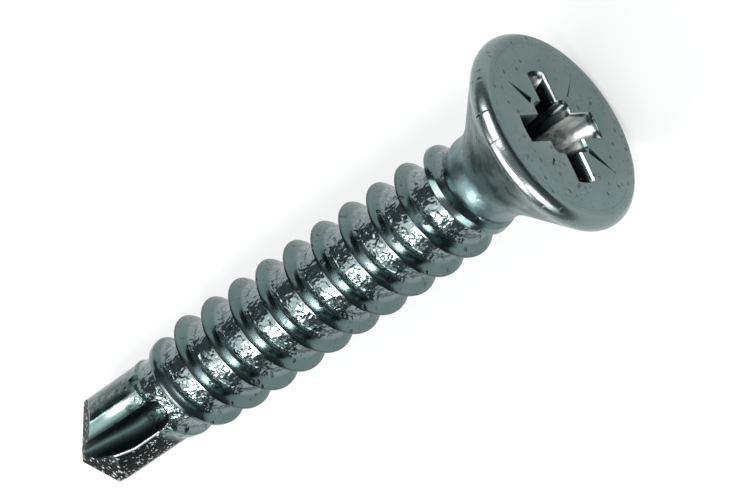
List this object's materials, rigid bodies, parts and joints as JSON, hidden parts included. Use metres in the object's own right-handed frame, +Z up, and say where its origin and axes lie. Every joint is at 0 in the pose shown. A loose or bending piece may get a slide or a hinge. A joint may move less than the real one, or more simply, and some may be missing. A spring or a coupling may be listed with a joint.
{
  "type": "self drilling screw",
  "caption": "Countersunk self drilling screw with a cross recess, a coarse sharp thread and a fluted drill point.",
  "frame": {"origin": "on the floor, under the middle of the box round the lying screw", "axes": "+Z up; the screw lies along X with its drill point towards +X and its head towards -X"},
  "size_m": [0.0248, 0.0078, 0.0078],
  "materials": {
    "zinc_plated_steel": "bright zinc plating over hardened steel, with small pits, scratches and rim nicks"
  },
  "bodies": {
    "root": {"self_drilling_screw": "zinc_plated_steel"}
  },
  "joints": []
}
